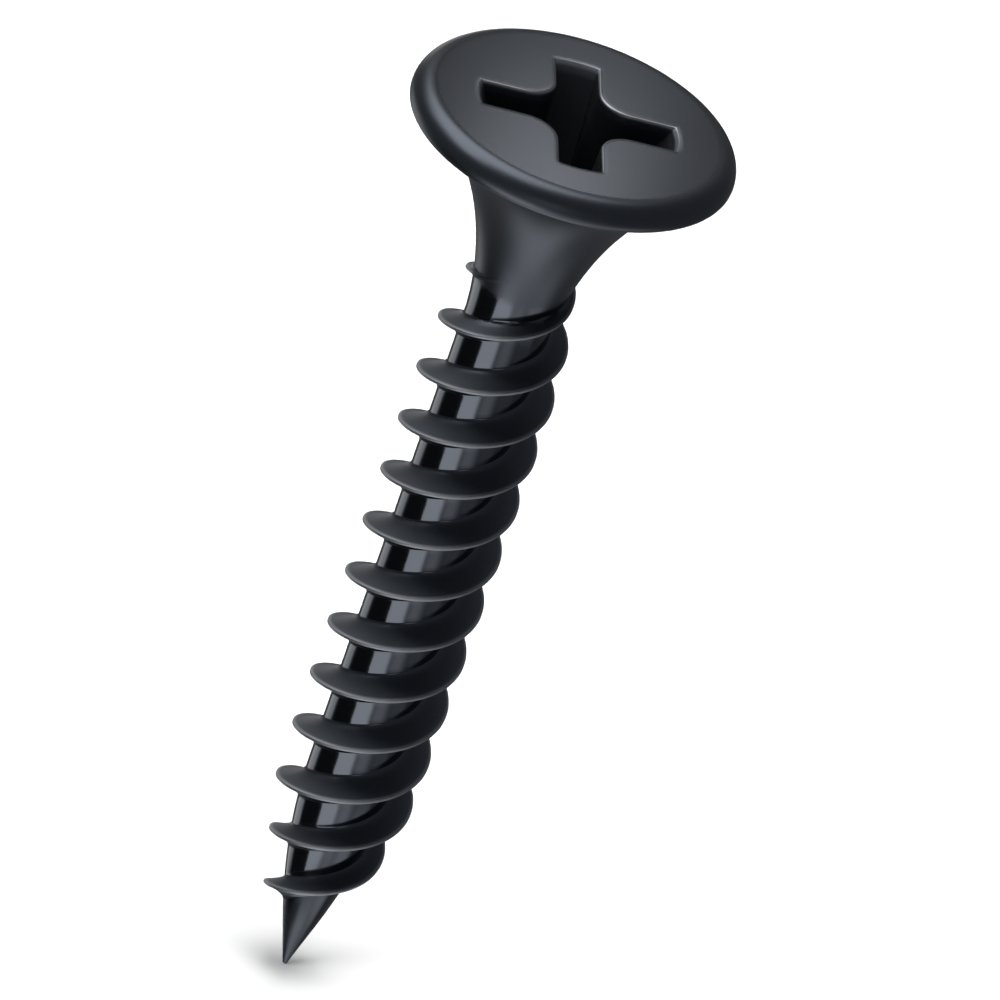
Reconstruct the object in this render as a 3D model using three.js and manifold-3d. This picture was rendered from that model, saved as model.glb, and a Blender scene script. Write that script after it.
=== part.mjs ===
// A wood screw: bugle head with a cross recess, twin-start right-hand thread and a sharp point.
// Millimetres. The origin is the middle of the head's flat top, and +Z points out of the head along the axis,
// so that z is minus the depth below the head's top.
import * as THREE from "three";
import { mergeVertices } from "three/addons/utils/BufferGeometryUtils.js";
import Module from "manifold-3d";

const wasm = await Module();
wasm.setup();

const degrees = THREE.MathUtils.degToRad;

// Overall sizes.
const length = 25; // from the head's top to the point
const headDiameter = 8.15;
const coreDiameter = 2.17; // the bare shank between the ridges
const threadDiameter = 3.5; // over the crests

// Head: a flat top, a rounded rim and a trumpet-shaped neck.
const rimWidth = 0.5; // from the edge of the flat top out to the rim
const rimDrop = 0.53; // from the flat top down to the widest point
const underRimWidth = 0.16;
const underRimDrop = 0.19;
const neckDepth = 6; // where the neck has run out into the shank
const neckPull = 0.456; // how far the neck's curve follows its end tangents

// Cross recess.
const recessSpan = 4.98; // across two opposite wings at the mouth
const wingWidth = 1.065; // at the mouth
const wingFillet = 0.8; // in the inner corners between two wings
const wingEndSlope = degrees(26.5); // from the axis, as on the driver
const wingSideSlope = degrees(2);
const recessFloorRadius = 1.15;
const floorConeDepth = 0.3; // the shallow cone that the floor ends in

// Thread.
const threadStarts = 2;
const threadLead = 3; // rise of one ridge in a full turn
const threadPhase = degrees(41.4); // angle of the first ridge, carried on to the head's top
const crestWidth = 0.07;
const flankSlope = 0.52; // how far a flank spreads along the axis for each mm towards the core
const runOutTop = 3.1; // depth at which the ridges start, inside the neck
const runOutLength = 6.4;
const taperLength = 5.25; // from where the ridges get lower to the point
const taperSlope = 0.178; // how much lower they get for each mm
const runInLength = 0.9; // over which a ridge fades out at its lower end
const bareTip = 1.6; // between the point and the lowest ridge end
const endStagger = 1.3; // how much higher each next ridge ends

// Point.
const pointAngle = degrees(32.2); // across the whole cone
const tipDiameter = 0.1;
const shoulderRound = 4.4; // length of the round that leads from the shank into the cone

// How finely the round shapes are divided.
const aroundHead = 40;
const alongTurn = 30;
const alongRim = 4;
const alongUnderRim = 2;
const alongNeck = 9;
const alongShoulder = 6;
const alongFillet = 6;

const headRadius = headDiameter / 2;
const coreRadius = coreDiameter / 2;
const threadRadius = threadDiameter / 2;
const tipRadius = tipDiameter / 2;
const pointSlope = Math.tan(pointAngle / 2);
const pointLength = (coreRadius - tipRadius) / pointSlope;
const shoulderTop = pointLength + shoulderRound / 2 - length;
const overlap = 0.5; // how far a cutter stands out of what it cuts

// Points of a curve without its first one, which the line before it already holds.
function onward(curve, divisions) {
  return curve.getPoints(divisions).slice(1);
}

// A profile in (radius, z), given from the head's axis down, turned about Z.
function turned(profile, segments) {
  const geometry = new THREE.LatheGeometry(profile.toReversed(), segments);
  return geometry.rotateX(Math.PI / 2);
}

function solidOf(geometry) {
  geometry.deleteAttribute("normal");
  geometry.deleteAttribute("uv");
  const merged = mergeVertices(geometry);
  const mesh = new wasm.Mesh({
    numProp: 3,
    vertProperties: merged.attributes.position.array,
    triVerts: new Uint32Array(merged.index.array),
  });
  return new wasm.Manifold(mesh);
}

function geometryOf(solid) {
  const { vertProperties, triVerts } = solid.getMesh();
  const geometry = new THREE.BufferGeometry();
  geometry.setAttribute("position", new THREE.BufferAttribute(vertProperties, 3));
  geometry.setIndex(new THREE.BufferAttribute(triVerts, 1));
  geometry.computeVertexNormals();
  return geometry;
}

// Head, neck, bare shank and point in one turned profile.
function blank() {
  const flatRadius = headRadius - rimWidth;
  const underRadius = headRadius - underRimWidth;
  const underDepth = rimDrop + underRimDrop;
  const pull = neckPull * (underRadius - coreRadius);
  const lift = neckPull * (neckDepth - underDepth);
  const upperRim = new THREE.EllipseCurve(flatRadius, -rimDrop, rimWidth, rimDrop, Math.PI / 2, 0, true);
  const underRim = new THREE.EllipseCurve(
    underRadius, -rimDrop, underRimWidth, underRimDrop, 0, -Math.PI / 2, true,
  );
  const neck = new THREE.CubicBezierCurve(
    new THREE.Vector2(underRadius, -underDepth),
    new THREE.Vector2(underRadius - pull, -underDepth),
    new THREE.Vector2(coreRadius, lift - neckDepth),
    new THREE.Vector2(coreRadius, -neckDepth),
  );
  const shoulder = [];
  for (let i = 0; i <= alongShoulder; i++) {
    const z = shoulderTop - (i / alongShoulder) * shoulderRound;
    shoulder.push(new THREE.Vector2(coreRadiusAt(z), z));
  }
  const profile = [
    new THREE.Vector2(0, 0),
    new THREE.Vector2(flatRadius, 0),
    ...onward(upperRim, alongRim),
    ...onward(underRim, alongUnderRim),
    ...onward(neck, alongNeck),
    ...shoulder,
    new THREE.Vector2(tipRadius, -length),
    new THREE.Vector2(0, -length),
  ];
  return solidOf(turned(profile, aroundHead));
}

// Radius of the bare metal: the straight shank, the round shoulder, then the cone.
function coreRadiusAt(z) {
  const below = Math.max(shoulderTop - z, 0);
  if (below > shoulderRound) {
    return tipRadius + (z + length) * pointSlope;
  }
  return coreRadius - (pointSlope * below ** 2) / (2 * shoulderRound);
}

// Radius over the crests, which come down towards the point.
function crestRadiusAt(z) {
  return threadRadius - taperSlope * Math.max(taperLength - length - z, 0);
}

// How much of its height a ridge has, from 0 at its faded end to 1.
function risen(share) {
  return 1 - (1 - Math.min(share, 1)) ** 3;
}

// One helical ridge: a straight bar of unit section, wrapped round the axis from the neck down to its end.
// Its root and its faded ends stay buried in the shank.
function ridge(phase, bottom) {
  const top = -runOutTop;
  const buriedRoot = 0.4; // shares of the local core radius
  const buriedCrest = 0.7;
  const section = new THREE.Shape([
    new THREE.Vector2(0, -1),
    new THREE.Vector2(1, -1),
    new THREE.Vector2(1, 1),
    new THREE.Vector2(0, 1),
  ]);
  const steps = Math.round(((top - bottom) / threadLead) * alongTurn);
  const bar = new THREE.ExtrudeGeometry(section, { depth: 1, steps, bevelEnabled: false });
  const corners = bar.attributes.position;
  for (let i = 0; i < corners.count; i++) {
    const z = THREE.MathUtils.lerp(top, bottom, corners.getZ(i));
    const height = risen((top - z) / runOutLength) * risen((z - bottom) / runInLength);
    const core = coreRadiusAt(z);
    const root = core * buriedRoot;
    const crest = THREE.MathUtils.lerp(core * buriedCrest, crestRadiusAt(z), height);
    const radius = THREE.MathUtils.lerp(root, crest, corners.getX(i));
    const halfWidth = crestWidth / 2 + (crest - radius) * flankSlope;
    const angle = phase + (2 * Math.PI * z) / threadLead;
    corners.setXYZ(
      i,
      radius * Math.cos(angle),
      radius * Math.sin(angle),
      z + corners.getY(i) * halfWidth,
    );
  }
  return solidOf(bar);
}

// The cross at the mouth, with its wings drawn a little long: straight sides and round inner corners.
function crossOutline() {
  const half = wingWidth / 2;
  const reach = recessSpan / 2 + overlap;
  const middle = new THREE.Vector2();
  const outline = [];
  for (let wing = 0; wing < 4; wing++) {
    const heading = (wing * Math.PI) / 2;
    const corner = new THREE.Vector2(half + wingFillet, half + wingFillet).rotateAround(middle, heading);
    const fillet = new THREE.EllipseCurve(
      corner.x, corner.y, wingFillet, wingFillet, heading - Math.PI / 2, heading - Math.PI, true,
    );
    outline.push(new THREE.Vector2(reach, -half).rotateAround(middle, heading));
    outline.push(new THREE.Vector2(reach, half).rotateAround(middle, heading));
    outline.push(...fillet.getPoints(alongFillet));
  }
  return outline;
}

// The driver's shape: a cross that narrows with depth, kept inside the cone that its wing ends lie on.
function recessCutter() {
  const coneDepth = (recessSpan / 2 - recessFloorRadius) / Math.tan(wingEndSlope);
  const depth = coneDepth + floorConeDepth;
  const bar = new THREE.ExtrudeGeometry(new THREE.Shape(crossOutline()), {
    depth: depth + 2 * overlap,
    bevelEnabled: false,
  });
  bar.translate(0, 0, -depth - overlap);
  const corners = bar.attributes.position;
  for (let i = 0; i < corners.count; i++) {
    const narrowing = 1 + (corners.getZ(i) * Math.tan(wingSideSlope)) / (wingWidth / 2);
    corners.setXY(i, corners.getX(i) * narrowing, corners.getY(i) * narrowing);
  }
  const cone = turned(
    [
      new THREE.Vector2(0, overlap),
      new THREE.Vector2(recessSpan / 2 + overlap * Math.tan(wingEndSlope), overlap),
      new THREE.Vector2(recessFloorRadius, -coneDepth),
      new THREE.Vector2(0, -depth),
    ],
    aroundHead,
  );
  return solidOf(bar).intersect(solidOf(cone));
}

function screw() {
  let body = blank();
  for (let start = 0; start < threadStarts; start++) {
    const phase = threadPhase + (start * 2 * Math.PI) / threadStarts;
    const bottom = bareTip + start * endStagger - length;
    body = body.add(ridge(phase, bottom));
  }
  const material = new THREE.MeshStandardMaterial({ color: 0x2b2e34, roughness: 0.4, metalness: 0.9 });
  const mesh = new THREE.Mesh(geometryOf(body.subtract(recessCutter())), material);
  mesh.name = "screw";
  return mesh;
}

const part = new THREE.Group();
part.add(screw());

export default part;
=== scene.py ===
import math

import bmesh
import bpy
from mathutils import Matrix, Vector


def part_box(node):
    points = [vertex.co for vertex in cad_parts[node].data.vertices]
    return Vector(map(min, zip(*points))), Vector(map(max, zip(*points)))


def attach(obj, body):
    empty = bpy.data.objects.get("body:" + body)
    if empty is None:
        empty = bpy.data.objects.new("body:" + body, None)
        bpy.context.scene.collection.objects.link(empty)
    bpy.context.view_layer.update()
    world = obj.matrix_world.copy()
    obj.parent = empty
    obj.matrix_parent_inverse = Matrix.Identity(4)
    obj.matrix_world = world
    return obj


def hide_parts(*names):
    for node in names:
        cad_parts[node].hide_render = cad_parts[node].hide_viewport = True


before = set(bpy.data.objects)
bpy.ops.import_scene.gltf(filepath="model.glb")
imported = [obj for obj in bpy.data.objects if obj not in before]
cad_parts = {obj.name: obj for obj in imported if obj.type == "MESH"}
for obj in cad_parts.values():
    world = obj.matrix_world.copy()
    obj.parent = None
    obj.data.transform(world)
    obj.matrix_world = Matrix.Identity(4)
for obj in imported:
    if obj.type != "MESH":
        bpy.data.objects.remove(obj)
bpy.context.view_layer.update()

nodeLow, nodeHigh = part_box("screw")
millimetre = 0.001
mergeDistance = 1e-4         # mm

# The screw, in millimetres. The top of the head is z = 0 and the point is at the lowest z.
screw = {
    "length": -nodeLow.z / millimetre,
    "headRadius": nodeHigh.x / millimetre - 0.0005,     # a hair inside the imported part
    "coreRadius": 1.085,
    "threadRadius": 1.75,
    "around": 144,           # steps round the axis, a multiple of 4
    "sharpAngle": math.radians(38),
    "joinReach": 0.1,        # how far from a join its two open rims are looked for
}

# Head: flat top, rounded rim and trumpet neck.
head = {
    "rimWidth": 0.5,
    "rimDrop": 0.53,
    "underRimWidth": 0.16,
    "underRimDrop": 0.19,
    "neckDepth": 6.0,
    "neckCurve": 1.74,       # 2 is a true ellipse, less is flatter
    "sleeveTop": -3.5,       # where the turned head meets the threaded sleeve
    "sleeveGap": 0.04,       # left open there, then bridged
    "flatRow": 0.8,          # place of a row of vertices on the flat top
    "rimSteps": 16,
    "underRimSteps": 8,
    "neckSteps": 40,
    "neckCrowding": 1.6,     # more than 1 puts the rows closer together near the rim
}

# Cross recess for a number 2 driver.
recess = {
    "span": 4.98,
    "wingWidth": 1.065,
    "fillet": 0.8,
    "endSlope": math.radians(26.5),
    "sideSlope": math.radians(2.0),
    "floorRadius": 1.15,
    "floorCone": 0.3,
    "mouthRound": 0.06,
    "mouthSteps": 4,
    "mouthMargin": 0.1,      # flat strip kept even around the mouth
    "cornerRound": 0.09,
    "endSteps": 8,           # steps along a wing's end, out of a quarter of screw["around"]
    "endCrowding": 0.12,     # puts the steps closer together near a wing's end
    "wallRows": (0.12, 0.3, 0.6, 1.0, 1.4, 1.8, 2.2, 2.5),
    "floorRows": (1.0, 0.97, 0.8, 0.55, 0.3, 0.1),     # shares of the floor's outline
}

# Thread: two right-hand ridges, rolled out of the shank.
thread = {
    "starts": 2,
    "lead": 3.0,
    "phase": math.radians(41.4),
    "crestWidth": 0.07,
    "crestRound": 0.02,
    "flankSlope": 0.52,
    "flankHollow": 0.10,     # how much the flanks are dished, as a share of the flank
    "rootRound": 0.09,
    "runOutTop": 3.1,
    "runOutLength": 6.4,
    "taperLength": 5.25,     # from where the ridges get lower to the point
    "taperSlope": 0.178,
    "runInLength": 0.9,
    "bareTip": 1.6,
    "endStagger": 1.3,
    "sleeveBottom": -23.92,
    # Rows of vertices beside the middle of a ridge, as shares of half the crest, of the flank,
    # and of the bare shank beyond it.
    "crestRows": (0.6, 0.95, 1.3, 2.0),
    "flankRows": (0.18, 0.36, 0.54, 0.7, 0.84, 0.93, 1.0, 1.08, 1.18),
    "shankRows": (0.45, 1.0),
    "spareTurn": 0.1,
    "columnSlack": 1e-3,     # a rim vertex further than this from a column, in steps, was made by the cut
}

# Point: a round shoulder, a cone and a small blunt tip.
point = {
    "halfAngle": math.radians(16.1),
    "tipRadius": 0.05,
    "shoulderRound": 4.4,
    "sleeveGap": 0.03,
    "coneSteps": 8,
    "tipSteps": 6,
    "tipMiddle": 0.06,       # centre of the tip's round above the very end
    "tipShoulder": 0.02,     # from that centre up to where the cone begins
}


def mix(a, b, share):
    return a + (b - a) * share


def eased(low, high, value):
    # 0 at low and 1 at high, smooth at both
    share = min(max((value - low) / (high - low), 0.0), 1.0)
    return share * share * (3.0 - 2.0 * share)


def rounded(a, b, radius):
    # the larger of two heights, with a fillet where they cross
    reach = max(radius - abs(a - b), 0.0) / radius
    return max(a, b) + reach * reach * radius / 4.0


def coreRadiusAt(z):
    slope = math.tan(point["halfAngle"])
    pointLength = (screw["coreRadius"] - point["tipRadius"]) / slope
    shoulderTop = pointLength + point["shoulderRound"] / 2.0 - screw["length"]
    below = max(shoulderTop - z, 0.0)
    if below > point["shoulderRound"]:
        return point["tipRadius"] + (z + screw["length"]) * slope
    return screw["coreRadius"] - slope * below ** 2 / (2.0 * point["shoulderRound"])


def neckRadiusAt(z):
    top = head["rimDrop"] + head["underRimDrop"]
    along = min(max((-z - top) / (head["neckDepth"] - top), 0.0), 1.0)
    curve = head["neckCurve"]
    flare = 1.0 - (1.0 - (1.0 - along) ** curve) ** (1.0 / curve)
    return mix(screw["coreRadius"], screw["headRadius"] - head["underRimWidth"], flare)


def bareRadiusAt(z):
    return max(neckRadiusAt(z), screw["coreRadius"]) if z > -head["neckDepth"] else coreRadiusAt(z)


def risen(share):
    return 1.0 - (1.0 - min(max(share, 0.0), 1.0)) ** 3


def ridgeAt(angle, z):
    # the nearest ridge: distance along the axis from its middle, and which ridge it is
    turns = z / thread["lead"] - (angle - thread["phase"]) / math.tau
    nearest = round(turns * thread["starts"])
    offset = (turns - nearest / thread["starts"]) * thread["lead"]
    return offset, (-nearest) % thread["starts"]


def crestRadiusAt(z, start):
    bottom = thread["bareTip"] + start * thread["endStagger"] - screw["length"]
    height = risen((-thread["runOutTop"] - z) / thread["runOutLength"])
    height *= risen((z - bottom) / thread["runInLength"])
    tapered = max(thread["taperLength"] - screw["length"] - z, 0.0)
    full = screw["threadRadius"] - thread["taperSlope"] * tapered
    return mix(coreRadiusAt(z) * 0.7, full, height)     # a faded ridge sinks into the core


def threadedRadius(angle, z):
    offset, start = ridgeAt(angle, z)
    crest = crestRadiusAt(z - offset, start)
    down = (abs(offset) - thread["crestWidth"] / 2.0) / thread["flankSlope"]
    full = screw["threadRadius"] - screw["coreRadius"]
    share = min(max(down / full, 0.0), 1.0)
    down += thread["flankHollow"] * full * 4.0 * share * (1.0 - share)
    ridge = -rounded(down - crest, -crest, thread["crestRound"])
    return rounded(bareRadiusAt(z), ridge, thread["rootRound"])


def openRims(bm, low, high):
    return [e for e in bm.edges if e.is_boundary and all(low < v.co.z < high for v in e.verts)]


def makeSleeve():
    # A grid becomes a wall that winds down the axis, is cut level at both ends and given the thread's shape.
    bm = bmesh.new()
    pitch = thread["lead"] / thread["starts"]
    flank = (screw["threadRadius"] - screw["coreRadius"]) * thread["flankSlope"]
    crest = thread["crestWidth"] / 2.0
    half = [0.0] + [crest * share for share in thread["crestRows"]]
    half += [crest + flank * share for share in thread["flankRows"]]
    foot = half[-1]
    half += [mix(foot, pitch / 2.0, share) for share in thread["shankRows"]]
    offsets = [-x for x in reversed(half[1:])] + half
    heights = [-turn * pitch + x for turn in range(thread["starts"]) for x in offsets[:0:-1]]
    heights.append(heights[0] - thread["lead"])
    turns = (-thread["sleeveBottom"] + pitch / 2.0) / thread["lead"] + thread["spareTurn"]
    steps = math.ceil(turns * screw["around"])
    stepAngle = math.tau / screw["around"]
    columns = len(heights) - 1
    wall = bmesh.ops.create_grid(bm, x_segments=columns, y_segments=steps, size=0.5)["verts"]
    for v in wall:
        across = round((v.co.x + 0.5) * columns)
        along = round((v.co.y + 0.5) * steps)
        angle = thread["phase"] - along * stepAngle
        z = heights[across] - along * thread["lead"] / screw["around"]
        v.co = (math.cos(angle), math.sin(angle), z)
    bmesh.ops.remove_doubles(bm, verts=bm.verts[:], dist=mergeDistance)
    for height, side in ((head["sleeveTop"], 1), (thread["sleeveBottom"], -1)):
        bmesh.ops.bisect_plane(
            bm, geom=bm.verts[:] + bm.edges[:] + bm.faces[:], dist=mergeDistance / 10.0,
            plane_co=(0, 0, height), plane_no=(0, 0, side), clear_outer=True,
        )
    spare = []
    for v in bm.verts:
        if v.is_boundary:
            place = (math.atan2(v.co.y, v.co.x) - thread["phase"]) / stepAngle
            if abs(place - round(place)) > thread["columnSlack"]:
                spare.append(v)
    bmesh.ops.dissolve_verts(bm, verts=spare)
    for v in bm.verts:
        angle = math.atan2(v.co.y, v.co.x)
        radius = threadedRadius(angle, v.co.z)
        v.co.x, v.co.y = radius * math.cos(angle), radius * math.sin(angle)
    return bm


def turn(bm, outline):
    # an outline of (radius, z) turned all the way round
    verts = [bm.verts.new((radius, 0.0, z)) for radius, z in outline]
    edges = [bm.edges.new(pair) for pair in zip(verts, verts[1:])]
    bmesh.ops.spin(
        bm, geom=verts + edges, cent=(0, 0, 0), axis=(0, 0, 1), angle=math.tau,
        steps=screw["around"], use_merge=True,
    )


def arc(middle, radii, start, end, steps):
    angles = [mix(start, end, i / steps) for i in range(steps + 1)]
    return [(middle[0] + radii[0] * math.cos(a), middle[1] + radii[1] * math.sin(a)) for a in angles]


def makeHead(bm):
    flatRadius = screw["headRadius"] - head["rimWidth"]
    underRadius = screw["headRadius"] - head["underRimWidth"]
    ring = mix(recess["span"] / 2.0, flatRadius, 0.5)
    outline = [(ring, 0.0), (mix(ring, flatRadius, head["flatRow"]), 0.0)]
    outline += arc(
        (flatRadius, -head["rimDrop"]), (head["rimWidth"], head["rimDrop"]),
        math.pi / 2, 0.0, head["rimSteps"],
    )
    outline += arc(
        (underRadius, -head["rimDrop"]), (head["underRimWidth"], head["underRimDrop"]),
        0.0, -math.pi / 2, head["underRimSteps"],
    )[1:]
    top = head["rimDrop"] + head["underRimDrop"]
    bottom = -head["sleeveTop"] - head["sleeveGap"]
    for i in range(1, head["neckSteps"] + 1):
        z = -mix(top, bottom, (i / head["neckSteps"]) ** head["neckCrowding"])
        outline.append((neckRadiusAt(z), z))
    turn(bm, outline)
    return ring


def makePoint(bm):
    # the rest of the cone below the thread, closed by a small round tip
    top = thread["sleeveBottom"] - point["sleeveGap"]
    tipMiddle = point["tipMiddle"] - screw["length"]
    outline = []
    for i in range(point["coneSteps"] + 1):
        z = mix(top, tipMiddle + point["tipShoulder"], i / point["coneSteps"])
        outline.append((coreRadiusAt(z), z))
    start = -math.tan(point["halfAngle"])
    tip = arc((0.0, tipMiddle), (outline[-1][0], point["tipMiddle"]), start, -math.pi / 2, point["tipSteps"])
    outline += [(max(radius, 0.0), z) for radius, z in tip[1:]]
    turn(bm, outline)


def crossRadius(angle, depth, grow):
    # distance from the axis to the side of a wing, or to the fillet between two wings, within one quarter
    narrow = 1.0 - depth * math.tan(recess["sideSlope"]) / (recess["wingWidth"] / 2.0)
    half = narrow * recess["wingWidth"] / 2.0 + grow
    fillet = narrow * recess["fillet"] - grow
    angle = min(angle, math.pi / 2 - angle)
    if angle < math.atan2(half, half + fillet):
        return half / math.sin(angle)
    middle = (half + fillet) * math.sqrt(2.0)
    off = math.pi / 4 - angle
    return middle * math.cos(off) - math.sqrt(max(fillet ** 2 - (middle * math.sin(off)) ** 2, 0.0))


def cornerAngle(depth, grow, reach):
    # where the side of a wing meets its end, found by halving
    low, high = math.radians(2), math.pi / 4
    halvings = 40
    for _ in range(halvings):
        middle = (low + high) / 2.0
        if crossRadius(middle, depth, grow) > reach:
            low = middle
        else:
            high = middle
    return (low + high) / 2.0


def crossPoint(index, depth, grow=0.0):
    # a point of the recess's outline at a depth, with the outline grown outwards if asked
    quarter = screw["around"] // 4
    wing, step = divmod(index, quarter)
    reach = recess["span"] / 2.0 - depth * math.tan(recess["endSlope"]) + grow
    corner = cornerAngle(depth, grow, reach)
    if step <= recess["endSteps"]:
        angle = mix(-corner, corner, step / recess["endSteps"])
        radius = reach
    else:
        share = (step - recess["endSteps"]) / (quarter - recess["endSteps"])
        share -= recess["endCrowding"] * math.sin(math.tau * share)
        angle = mix(corner, math.pi / 2 - corner, share)
        radius = crossRadius(angle, depth, grow)
    radius = -rounded(-radius, -reach, recess["cornerRound"])
    angle += wing * math.pi / 2
    return Vector((radius * math.cos(angle), radius * math.sin(angle), -depth))


def extrudeRing(bm, edges, places):
    # extrudes a closed ring once; places gives each new vertex its place by its number in the ring
    index = bm.verts.layers.int["ring"]
    made = bmesh.ops.extrude_edge_only(bm, edges=edges)["geom"]
    for v in made:
        if isinstance(v, bmesh.types.BMVert):
            v.co = places(v[index])
    return [e for e in made if isinstance(e, bmesh.types.BMEdge)]


def makeRecess(bm, ringRadius):
    count = screw["around"]
    mouthRound = recess["mouthRound"]
    index = bm.verts.layers.int.new("ring")
    mouth = bmesh.ops.create_circle(bm, cap_ends=False, radius=1.0, segments=count)["verts"]
    mouth.sort(key=lambda v: math.atan2(v.co.y, v.co.x) % math.tau)
    for number, v in enumerate(mouth):
        v[index] = number
        v.co = crossPoint(number, mouthRound)
    mouthEdges = list({e for v in mouth for e in v.link_edges})

    edges = mouthEdges
    for step in range(1, recess["mouthSteps"] + 1):
        turned = step / recess["mouthSteps"] * math.pi / 2
        grow = mouthRound * (1.0 - math.cos(turned))
        depth = mouthRound * (1.0 - math.sin(turned))
        edges = extrudeRing(bm, edges, lambda number: crossPoint(number, 0.0, grow) - Vector((0, 0, depth)))
    margin = mouthRound + recess["mouthMargin"]
    edges = extrudeRing(bm, edges, lambda number: crossPoint(number, 0.0, margin))

    def ringPlace(number):
        angle = (number - recess["endSteps"] / 2.0) * math.tau / count
        return Vector((ringRadius * math.cos(angle), ringRadius * math.sin(angle), 0.0))

    extrudeRing(bm, edges, ringPlace)

    coneDepth = (recess["span"] / 2.0 - recess["floorRadius"]) / math.tan(recess["endSlope"])
    edges = mouthEdges
    for depth in recess["wallRows"]:
        edges = extrudeRing(bm, edges, lambda number: crossPoint(number, depth))

    def floorPlace(number):
        place = crossPoint(number, coneDepth) * share
        inward = 1.0 - math.hypot(place.x, place.y) / recess["floorRadius"]
        place.z = -coneDepth - recess["floorCone"] * inward
        return place

    for share in recess["floorRows"]:
        edges = extrudeRing(bm, edges, floorPlace)
    centre = list({v for e in edges for v in e.verts})
    bmesh.ops.pointmerge(bm, verts=centre, merge_co=(0, 0, -coneDepth - recess["floorCone"]))


# Pairs say where a finish begins and where it is full. Millimetres.
finishMarks = {
    "pressedHeight": (0.035, 0.004),     # above the bare shank
    "pressedTop": (4.7, 5.0),            # below the head's top
    "pressedBottom": (24.3, 22.9),
    "flankHeight": (0.03, 0.12),
    "crestWearAndHighlight": (0.1, 0.03),            # below the crest
    "leastRidge": 0.1,                   # a lower ridge shows no wear
    "mouthWearAndHighlight": (0.15, 0.05),           # depth in the recess
    # depth over which the painted shade in the recess grows
    "recessShadeDepth": (0.02, 0.35),
    "recessMargin": 0.1,                 # round the recess's span
    "skinDepth": 0.2,                    # from the neck's surface inwards
    "flatTop": -0.001,
    "mouthTop": -0.002,
}


def paintMasks(bm):
    # finish: the roughness, smoothest where the thread rolls have pressed the shank.
    # edge: the crests and the mouth of the recess, lighter in colour: partly skin rubbed thin, partly a
    # painted highlight along those edges. The recess mask darkens the colour of the recess's walls with
    # depth: painted shade.
    marks = finishMarks
    finish = bm.verts.layers.float.new("finish")
    edge = bm.verts.layers.float.new("edge")
    recessShade = bm.verts.layers.float.new("recessShade")
    for v in bm.verts:
        x, y, z = v.co
        radius = math.hypot(x, y)
        v[finish] = blackSteel["satinRoughness"]
        if z < head["sleeveTop"]:
            above = radius - bareRadiusAt(z)
            pressed = eased(*marks["pressedHeight"], above)
            pressed *= eased(*marks["pressedTop"], -z) * eased(*marks["pressedBottom"], -z)
            v[finish] = mix(v[finish], blackSteel["flankRoughness"], eased(*marks["flankHeight"], above))
            v[finish] = mix(v[finish], blackSteel["burnishedRoughness"], pressed)
            angle = math.atan2(y, x)
            offset, start = ridgeAt(angle, z)
            crest = crestRadiusAt(z - offset, start)
            # crest edges lighter in colour: partly wear, partly a painted highlight
            v[edge] = eased(*marks["crestWearAndHighlight"], crest - radius) if above > marks["leastRidge"] else 0.0
        elif z < marks["mouthTop"] and radius < min(
            recess["span"] / 2.0 + marks["recessMargin"], bareRadiusAt(z) - marks["skinDepth"],
        ):
            # the mouth of the recess lighter in colour: partly wear, partly a painted highlight
            v[edge] = eased(*marks["mouthWearAndHighlight"], -z)
            # painted shade: the recess's walls get darker in colour with depth
            v[recessShade] = eased(*marks["recessShadeDepth"], -z)
            v[finish] = mix(v[finish], blackSteel["recessShadeRoughness"], v[recessShade])
        elif z > marks["flatTop"]:
            v[finish] = blackSteel["headRoughness"]


def makeScrew():
    whole = bmesh.new()
    ring = makeHead(whole)
    makePoint(whole)
    makeRecess(whole, ring)
    sleeve = makeSleeve()
    mesh = bpy.data.meshes.new("screwBody")
    sleeve.to_mesh(mesh)
    sleeve.free()
    whole.from_mesh(mesh)
    bmesh.ops.remove_doubles(whole, verts=whole.verts[:], dist=mergeDistance)
    for height in (head["sleeveTop"], thread["sleeveBottom"]):
        rims = openRims(whole, height - screw["joinReach"], height + screw["joinReach"])
        bmesh.ops.bridge_loops(whole, edges=rims)
    bmesh.ops.recalc_face_normals(whole, faces=whole.faces[:])
    openEdges = sum(not e.is_manifold for e in whole.edges)
    print("screw mesh:", len(whole.faces), "faces,", openEdges, "open edges")
    for f in whole.faces:
        f.smooth = True
    for e in whole.edges:
        if e.is_manifold and e.calc_face_angle(0.0) > screw["sharpAngle"]:
            e.smooth = False
    paintMasks(whole)
    bmesh.ops.scale(whole, vec=(millimetre, millimetre, millimetre), verts=whole.verts[:])
    whole.to_mesh(mesh)
    whole.free()
    piece = bpy.data.objects.new("screw_body", mesh)
    bpy.context.scene.collection.objects.link(piece)
    return piece


# Black phosphated and oiled steel. A thin dark crystal skin on cold-formed wire: near black, blue-grey where
# it catches the light, with a soft sheen on the neck, a duller thread and a shank pressed nearly to a mirror.
blackSteel = {
    "colour": "#555a63",
    "wornAndHighlightColour": "#9a9ea6",     # where the skin is rubbed thin, and a painted highlight along the crests and the recess's mouth
    # painted shade: the darker colour of the recess's walls
    "recessShadeColour": "#3e4147",
    "satinRoughness": 0.36,      # neck, rim and cone
    "headRoughness": 0.26,
    "flankRoughness": 0.5,
    "burnishedRoughness": 0.12,
    "recessShadeRoughness": 0.6,
    "grainSize": 0.09,       # mm, drawn coarser than the real crystals so that it shows
    "grainDepth": 0.004,     # mm
    "grainStrength": (0.05, 0.35),     # on the burnished shank, and on the satin neck
    "cloudSize": 2.5,        # mm, the patches of thicker and thinner oil
    "tintSpread": 0.08,      # how much a patch changes the colour
    "finishSpread": 0.07,    # and the roughness
}


def linear(code):
    parts = [int(code[i:i + 2], 16) / 255.0 for i in (1, 3, 5)]
    return [c / 12.92 if c <= 0.04045 else ((c + 0.055) / 1.055) ** 2.4 for c in parts] + [1.0]


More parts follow.
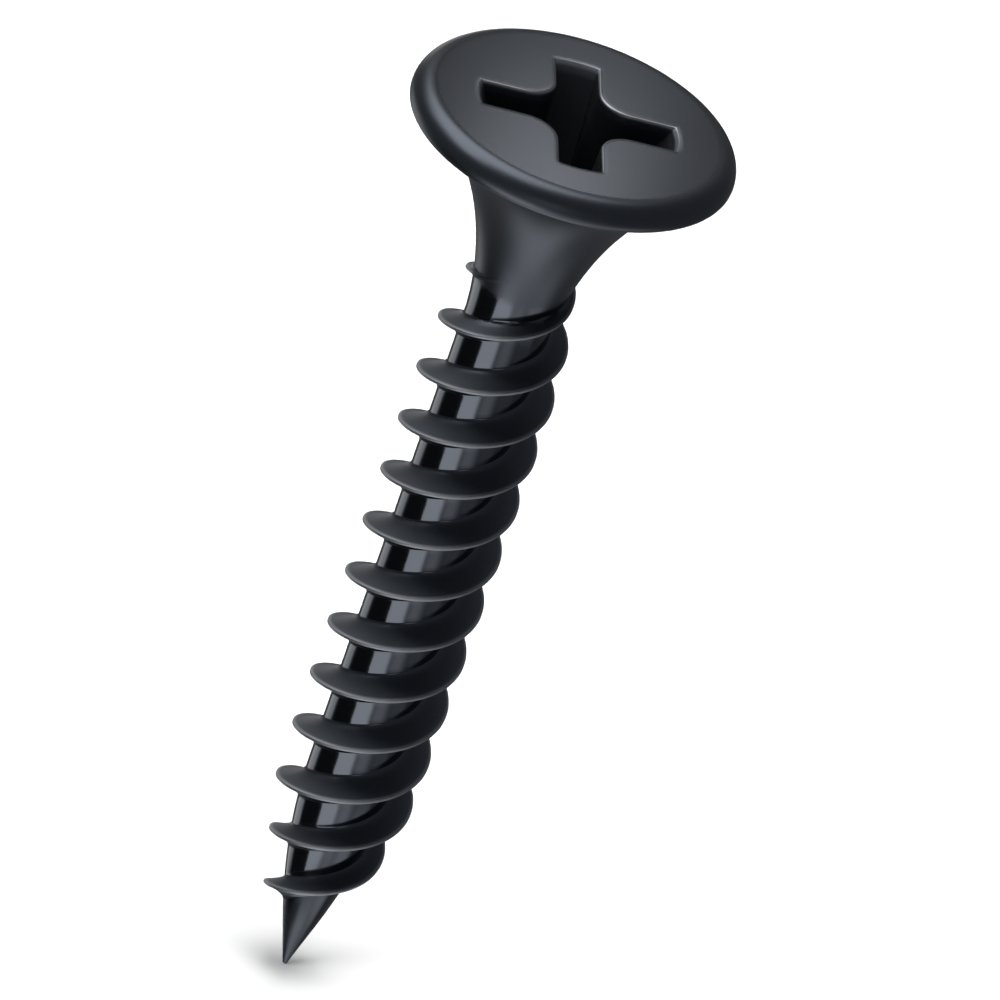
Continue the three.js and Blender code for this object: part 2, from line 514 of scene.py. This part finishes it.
def addNode(tree, kind, settings=None, links=None):
    # settings are properties or input values; links are input name -> output socket
    node = tree.nodes.new(kind)
    for name, value in (settings or {}).items():
        if name in node.inputs:
            node.inputs[name].default_value = value
        else:
            setattr(node, name, value)
    for name, socket in (links or {}).items():
        tree.links.new(socket, node.inputs[name])
    return node


def aroundOne(spread):
    return {"To Min": 1.0 - spread, "To Max": 1.0 + spread}


def blackPhosphateSteel():
    material = bpy.data.materials.new("blackPhosphateSteel")
    material.use_nodes = True
    tree = material.node_tree
    tree.nodes.clear()
    place = addNode(tree, "ShaderNodeTexCoord").outputs["Object"]
    finish = addNode(tree, "ShaderNodeAttribute", {"attribute_name": "finish"}).outputs["Fac"]
    edge = addNode(tree, "ShaderNodeAttribute", {"attribute_name": "edge"}).outputs["Fac"]
    recessShade = addNode(tree, "ShaderNodeAttribute", {"attribute_name": "recessShade"}).outputs["Fac"]
    grain = addNode(tree, "ShaderNodeTexNoise", {
        "Scale": 1.0 / (blackSteel["grainSize"] * millimetre), "Detail": 2.0, "Roughness": 0.5,
    }, {"Vector": place}).outputs["Fac"]
    cloud = addNode(tree, "ShaderNodeTexNoise", {
        "Scale": 1.0 / (blackSteel["cloudSize"] * millimetre), "Detail": 3.0, "Roughness": 0.5,
    }, {"Vector": place}).outputs["Fac"]
    # lighter colour on crests and the recess's mouth: partly wear, partly a painted highlight
    tint = addNode(tree, "ShaderNodeMix", {"data_type": "RGBA"}, {"Factor": edge})
    # painted shade: darker colour deep in the recess
    base = addNode(tree, "ShaderNodeMix", {"data_type": "RGBA"}, {"Factor": recessShade})
    base.inputs["A"].default_value = linear(blackSteel["colour"])
    base.inputs["B"].default_value = linear(blackSteel["recessShadeColour"])
    tree.links.new(base.outputs["Result"], tint.inputs["A"])
    tint.inputs["B"].default_value = linear(blackSteel["wornAndHighlightColour"])
    shade = addNode(tree, "ShaderNodeMapRange", aroundOne(blackSteel["tintSpread"]), {"Value": cloud})
    colour = addNode(tree, "ShaderNodeVectorMath", {"operation": "SCALE"}, {
        "Vector": tint.outputs["Result"], "Scale": shade.outputs["Result"],
    })
    uneven = addNode(tree, "ShaderNodeMapRange", aroundOne(blackSteel["finishSpread"]), {"Value": cloud})
    roughness = addNode(tree, "ShaderNodeMath", {"operation": "MULTIPLY"})
    tree.links.new(finish, roughness.inputs[0])
    tree.links.new(uneven.outputs["Result"], roughness.inputs[1])
    depth = addNode(tree, "ShaderNodeMapRange", {
        "From Min": blackSteel["burnishedRoughness"], "From Max": blackSteel["satinRoughness"],
        "To Min": blackSteel["grainStrength"][0], "To Max": blackSteel["grainStrength"][1],
    }, {"Value": finish})
    bump = addNode(tree, "ShaderNodeBump", {"Distance": blackSteel["grainDepth"] * millimetre}, {
        "Height": grain, "Strength": depth.outputs["Result"],
    })
    shader = addNode(tree, "ShaderNodeBsdfPrincipled", {"Metallic": 1.0}, {
        "Base Color": colour.outputs["Vector"], "Roughness": roughness.outputs["Value"],
        "Normal": bump.outputs["Normal"],
    })
    addNode(tree, "ShaderNodeOutputMaterial", links={"Surface": shader.outputs["BSDF"]})
    return material


# Camera: a long lens in front of the head and above it, rolled so that the screw leans. Millimetres.
view = {
    "azimuth": math.radians(-10.6),
    "elevation": math.radians(28.87),
    "roll": math.radians(19.18),
    "distance": 710.0,
    "lens": 1066.0,
    "sensor": 36.0,
    "clipEnd": 10.0,         # metres
    "aimRight": -1.90,
    "aimUp": -9.23,
}


def makeCamera():
    back = Vector((
        math.sin(view["azimuth"]) * math.cos(view["elevation"]),
        -math.cos(view["azimuth"]) * math.cos(view["elevation"]),
        math.sin(view["elevation"]),
    ))
    right = Vector((math.cos(view["azimuth"]), math.sin(view["azimuth"]), 0.0))
    up = back.cross(right)
    turned = Matrix.Rotation(view["roll"], 3, back)
    right, up = turned @ right, turned @ up
    eye = back * view["distance"]
    aim = right * view["aimRight"] + up * view["aimUp"]
    forward = (aim - eye).normalized()
    right = forward.cross(up).normalized()
    up = right.cross(forward)
    data = bpy.data.cameras.new("camera")
    data.lens = view["lens"]
    data.sensor_width = view["sensor"]
    data.clip_end = view["clipEnd"]
    camera = bpy.data.objects.new("camera", data)
    place = Matrix((right, up, -forward)).transposed().to_4x4()
    place.translation = eye * millimetre
    camera.matrix_world = place
    bpy.context.scene.collection.objects.link(camera)
    bpy.context.scene.camera = camera


# The studio. Cards are what the metal mirrors. Each has its azimuth from the camera's and its elevation in
# degrees, its distance, width and height in metres, its brightness, and the share over which its edges fade.
cards = {
    "keyCard": (-80, 48, 0.3, 0.12, 0.14, 3.4, 0.6),
    "backCard": (180.2, 49.0, 0.038, 0.005, 0.004, 4.2, 0.4),
    "backdrop": (180, 24, 0.5, 0.7, 0.30, 0.16, 0.5),
    "backLeftCard": (-126, -28, 0.3, 0.20, 0.20, 1.0, 0.4),
    "frontCard": (-30, -36, 0.3, 0.36, 0.24, 1.7, 0.4),
    "frontFade": (20, -40, 0.31, 0.28, 0.28, 0.85, 0.9),
    "frontFill": (0, 10, 0.3, 0.20, 0.14, 0.6, 0.8),
    "underCard": (10, -80, 0.2, 0.18, 0.24, 1.4, 0.8),
    "darkCard": (-72, -34, 0.28, 0.28, 0.22, 0.025, 0.06),
    "leftFill": (-130, 62, 0.3, 0.34, 0.42, 2.3, 0.45),
    "leftBackFill": (-166, -6, 0.3, 0.10, 0.14, 1.3, 0.6),
    "rightFill": (64, -48, 0.32, 0.30, 0.26, 0.85, 0.8),
}
# Seen by the floor alone, so that the floor mirrors the point a little. Placed as a card is.
floorBackdrop = {
    "place": (180, 29, 0.6, 1.6, 1.1),
    "brightness": 1.5,
}
# Lights for the floor's tone and its soft shadow: placed as a card is, then their power in watts.
floorLights = {
    "washLight": (20, 80, 0.5, 0.9, 0.9, 1.07),
    "overheadLight": (0, 88, 0.5, 0.34, 0.34, 2.35),
    "sideLight": (-46, 30, 0.4, 0.14, 0.3, 0.98),
}
# Matte white under a thin clear coat, which mirrors faintly what stands on it.
floorFinish = {
    "Roughness": 0.9,
    "Specular IOR Level": 0.0,
    "Coat Weight": 1.0,
    "Coat IOR": 1.9,
    "Coat Roughness": 0.04,
}
studio = {
    "aimHeight": -0.012,
    "surround": 0.12,
    "surroundColour": "#f6f9ff",
    "light": "#fffdf8",
    "floorColour": "#f4f4f4",
    "floorSize": 4.0,
}


def cameraSide(azimuth, elevation):
    # a direction given by its azimuth from the camera's, positive to the right, and its elevation
    azimuth = math.radians(azimuth) + view["azimuth"]
    elevation = math.radians(elevation)
    return Vector((
        math.sin(azimuth) * math.cos(elevation),
        -math.cos(azimuth) * math.cos(elevation),
        math.sin(elevation),
    ))


def plainGrid(name, width, height):
    bm = bmesh.new()
    bmesh.ops.create_grid(bm, x_segments=1, y_segments=1, size=0.5)
    bmesh.ops.scale(bm, vec=(width, height, 1.0), verts=bm.verts[:])
    mesh = bpy.data.meshes.new(name)
    bm.to_mesh(mesh)
    bm.free()
    piece = bpy.data.objects.new(name, mesh)
    bpy.context.scene.collection.objects.link(piece)
    return piece


def placeCard(name, azimuth, elevation, distance, width, height):
    # a plane that faces the screw and shows in mirrors only, with an empty node tree
    card = plainGrid(name, width, height)
    direction = cameraSide(azimuth, elevation)
    card.location = direction * distance + Vector((0, 0, studio["aimHeight"]))
    card.rotation_euler = direction.to_track_quat("Z", "Y").to_euler()
    card.visible_camera = False
    card.visible_diffuse = False
    card.visible_shadow = False
    material = bpy.data.materials.new(name)
    material.use_nodes = True
    material.node_tree.nodes.clear()
    card.data.materials.append(material)
    return card, material.node_tree


def makeCard(name, azimuth, elevation, distance, width, height, brightness, fade):
    card, tree = placeCard(name, azimuth, elevation, distance, width, height)
    place = addNode(tree, "ShaderNodeTexCoord").outputs["Object"]
    parts = addNode(tree, "ShaderNodeSeparateXYZ", links={"Vector": place})
    shares = []
    for axis, size in (("X", width), ("Y", height)):
        away = addNode(tree, "ShaderNodeMath", {"operation": "ABSOLUTE"}, {"Value": parts.outputs[axis]})
        shares.append(addNode(tree, "ShaderNodeMapRange", {
            "interpolation_type": "SMOOTHSTEP", "From Min": size / 2.0 * (1.0 - fade),
            "From Max": size / 2.0, "To Min": 1.0, "To Max": 0.0,
        }, {"Value": away.outputs["Value"]}).outputs["Result"])
    both = addNode(tree, "ShaderNodeMath", {"operation": "MULTIPLY"})
    tree.links.new(shares[0], both.inputs[0])
    tree.links.new(shares[1], both.inputs[1])
    clear = addNode(tree, "ShaderNodeBsdfTransparent")
    glow = addNode(tree, "ShaderNodeEmission", {"Color": linear(studio["light"]), "Strength": brightness})
    blend = addNode(tree, "ShaderNodeMixShader", links={"Fac": both.outputs["Value"]})
    tree.links.new(clear.outputs["BSDF"], blend.inputs[1])
    tree.links.new(glow.outputs["Emission"], blend.inputs[2])
    addNode(tree, "ShaderNodeOutputMaterial", links={"Surface": blend.outputs["Shader"]})


def makeFloorBackdrop(floor):
    # it adds its glow to what lies behind it, so that nothing is hidden from the screw
    wall, tree = placeCard("floorBackdrop", *floorBackdrop["place"])
    clear = addNode(tree, "ShaderNodeBsdfTransparent")
    glow = addNode(tree, "ShaderNodeEmission", {
        "Color": linear(studio["light"]), "Strength": floorBackdrop["brightness"],
    })
    both = addNode(tree, "ShaderNodeAddShader")
    tree.links.new(clear.outputs["BSDF"], both.inputs[0])
    tree.links.new(glow.outputs["Emission"], both.inputs[1])
    addNode(tree, "ShaderNodeOutputMaterial", links={"Surface": both.outputs["Shader"]})
    floorOnly = bpy.data.collections.new("floorOnly")
    floorOnly.objects.link(floor)
    wall.light_linking.receiver_collection = floorOnly


def makeFloor():
    floor = plainGrid("floor", studio["floorSize"], studio["floorSize"])
    floor.location.z = nodeLow.z
    floor.visible_glossy = False
    floor.visible_shadow = False
    material = bpy.data.materials.new("matteFloor")
    material.use_nodes = True
    shader = material.node_tree.nodes["Principled BSDF"]
    shader.inputs["Base Color"].default_value = linear(studio["floorColour"])
    for name, value in floorFinish.items():
        shader.inputs[name].default_value = value
    floor.data.materials.append(material)
    makeFloorBackdrop(floor)


def makeFloorLight(name, azimuth, elevation, distance, width, height, power):
    data = bpy.data.lights.new(name, "AREA")
    data.shape = "RECTANGLE"
    data.size, data.size_y = width, height
    data.energy = power
    light = bpy.data.objects.new(name, data)
    direction = cameraSide(azimuth, elevation)
    light.location = direction * distance + Vector((0, 0, nodeLow.z))
    light.rotation_euler = direction.to_track_quat("Z", "Y").to_euler()
    light.visible_glossy = False
    bpy.context.scene.collection.objects.link(light)


makeCamera()
print("camera placed")

screwBody = makeScrew()
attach(screwBody, "root")
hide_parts("screw")
screwBody.data.materials.append(blackPhosphateSteel())
print("screw finished in black phosphate steel")

makeFloor()
for name, values in cards.items():
    makeCard(name, *values)
for name, values in floorLights.items():
    makeFloorLight(name, *values)
world = bpy.data.worlds.new("world")
world.use_nodes = True
world.node_tree.nodes["Background"].inputs["Color"].default_value = linear(studio["surroundColour"])
world.node_tree.nodes["Background"].inputs["Strength"].default_value = studio["surround"]
bpy.context.scene.world = world
bpy.context.scene.view_settings.view_transform = "Standard"
print("studio set up:", len(cards), "cards,", len(floorLights), "floor lights")
